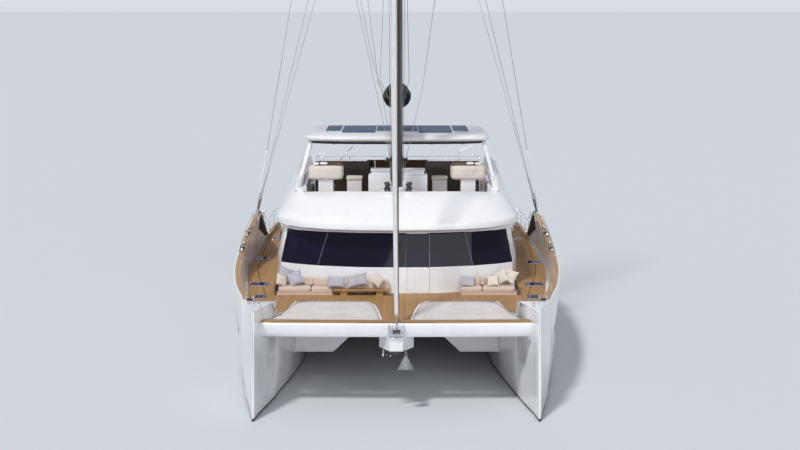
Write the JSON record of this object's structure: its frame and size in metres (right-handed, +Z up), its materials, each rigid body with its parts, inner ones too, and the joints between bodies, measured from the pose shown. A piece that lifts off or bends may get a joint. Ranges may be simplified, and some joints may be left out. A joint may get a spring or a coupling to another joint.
{
  "type": "cruising sailing catamaran",
  "caption": "Flybridge sailing catamaran afloat: twin hulls, bow nets, wraparound saloon glass, hardtop, furled headsail, and a boom, rudders, propellers, wheels and doors that move.",
  "frame": {"origin": "on the centreline amidships at the waterline", "axes": "+X to port, +Y aft so the bows point to -Y, +Z up along the mast"},
  "size_m": [12.02, 24, 36.75],
  "materials": {
    "white_gelcoat": "white gelcoat",
    "teak": "weathered teak planks",
    "dark_glass": "dark tinted glass",
    "netting": "pale woven net",
    "stainless": "polished stainless steel",
    "antifouling": "matt dark blue bottom paint",
    "bronze": "cast bronze",
    "engine_paint": "grey enamel",
    "carbon": "clear-coated dark carbon",
    "sailcloth": "white sailcloth",
    "bag_cloth": "dark acrylic canvas",
    "cushion": "beige and grey outdoor fabric",
    "dark_seat": "dark brown outdoor fabric",
    "solar": "dark blue solar cells under glass"
  },
  "bodies": {
    "boat": {"aft_glass": "dark_glass", "anchor": "stainless", "bow_sofa_port": "cushion", "bow_sofa_starboard": "cushion", "bow_table": "teak", "bridgedeck": "white_gelcoat", "bulwark_port": "white_gelcoat", "bulwark_starboard": "white_gelcoat", "cap_rail_port": "teak", "cap_rail_starboard": "teak", "cockpit_sofa": "cushion", "cockpit_table": "teak", "crossbeam": "white_gelcoat", "crossbeam_cap": "teak", "deckhouse": "white_gelcoat", "drive_leg_port": "bronze", "drive_leg_starboard": "bronze", "engine_port": "engine_paint", "engine_starboard": "engine_paint", "fly_bar": "white_gelcoat", "fly_bench": "dark_seat", "fly_sofa_port": "dark_seat", "fly_sofa_starboard": "dark_seat", "fly_stair": "white_gelcoat", "fly_table": "teak", "flybridge": "white_gelcoat", "hardtop": "white_gelcoat", "headsail": "sailcloth", "helm_console_port": "white_gelcoat", "helm_console_starboard": "white_gelcoat", "helm_seat_port": "cushion", "helm_seat_starboard": "cushion", "hull_port": "white_gelcoat", "hull_starboard": "white_gelcoat", "longeron": "white_gelcoat", "mast": "carbon", "net_port": "netting", "net_starboard": "netting", "shrouds_port": "stainless", "shrouds_starboard": "stainless", "side_glass_port": "dark_glass", "side_glass_starboard": "dark_glass", "solar_panels": "solar", "windscreen_port": "dark_glass", "windscreen_starboard": "dark_glass"},
    "rudder_port": {"rudder_port": "antifouling"},
    "rudder_starboard": {"rudder_starboard": "antifouling"},
    "propeller_port": {"propeller_port": "bronze"},
    "propeller_starboard": {"propeller_starboard": "bronze"},
    "engine_hatch_port": {"engine_hatch_port": "teak"},
    "engine_hatch_starboard": {"engine_hatch_starboard": "teak"},
    "wheel_port": {"wheel_port": "stainless"},
    "wheel_starboard": {"wheel_starboard": "stainless"},
    "boom": {"boom": "carbon", "sail_bag": "bag_cloth"},
    "front_door": {"front_door": "white_gelcoat", "front_door_glass": "dark_glass"},
    "aft_door": {"aft_door": "dark_glass"}
  },
  "joints": [
    {"name": "rudder_port", "type": "hinge", "parent": "boat", "child": "rudder_port", "pos_m": [4.48, 9.5, -1], "axis": [0, 0, 1], "range_deg": [-35, 35]},
    {"name": "steering_port", "type": "hinge", "parent": "boat", "child": "wheel_port", "pos_m": [2.74, -1.3, 6.23], "axis": [0, -1, 0], "range_deg": [-540, 540]},
    {"name": "propeller_port", "type": "hinge", "parent": "boat", "child": "propeller_port", "pos_m": [4.48, 8.65, -1.33], "axis": [0, 1, 0], "continuous": true},
    {"name": "engine_hatch_port", "type": "hinge", "parent": "boat", "child": "engine_hatch_port", "pos_m": [4.48, 6.248, 2.826], "axis": [1, 0, 0], "range_deg": [0, 80]},
    {"name": "rudder_starboard", "type": "hinge", "parent": "boat", "child": "rudder_starboard", "pos_m": [-4.48, 9.5, -1], "axis": [0, 0, 1], "range_deg": [-35, 35]},
    {"name": "steering_starboard", "type": "hinge", "parent": "boat", "child": "wheel_starboard", "pos_m": [-2.74, -1.3, 6.23], "axis": [0, -1, 0], "range_deg": [-540, 540]},
    {"name": "propeller_starboard", "type": "hinge", "parent": "boat", "child": "propeller_starboard", "pos_m": [-4.48, 8.65, -1.33], "axis": [0, 1, 0], "continuous": true},
    {"name": "engine_hatch_starboard", "type": "hinge", "parent": "boat", "child": "engine_hatch_starboard", "pos_m": [-4.48, 6.248, 2.826], "axis": [1, 0, 0], "range_deg": [0, 80]},
    {"name": "boom", "type": "hinge", "parent": "boat", "child": "boom", "pos_m": [0, -2.86, 9.225], "axis": [0, 0, 1], "range_deg": [-45, 45]},
    {"name": "front_door", "type": "hinge", "parent": "boat", "child": "front_door", "pos_m": [0.36, -6.07, 3.8], "axis": [0, 0, -1], "range_deg": [0, 85]},
    {"name": "aft_door", "type": "slide", "parent": "boat", "child": "aft_door", "axis": [1, 0, 0], "range_m": [0, 1.5]}
  ],
  "couplings": [
    {"joint": "rudder_starboard", "follows": "rudder_port", "ratio": 1},
    {"joint": "steering_port", "follows": "rudder_port", "ratio": 15.4},
    {"joint": "steering_starboard", "follows": "rudder_port", "ratio": 15.4}
  ]
}
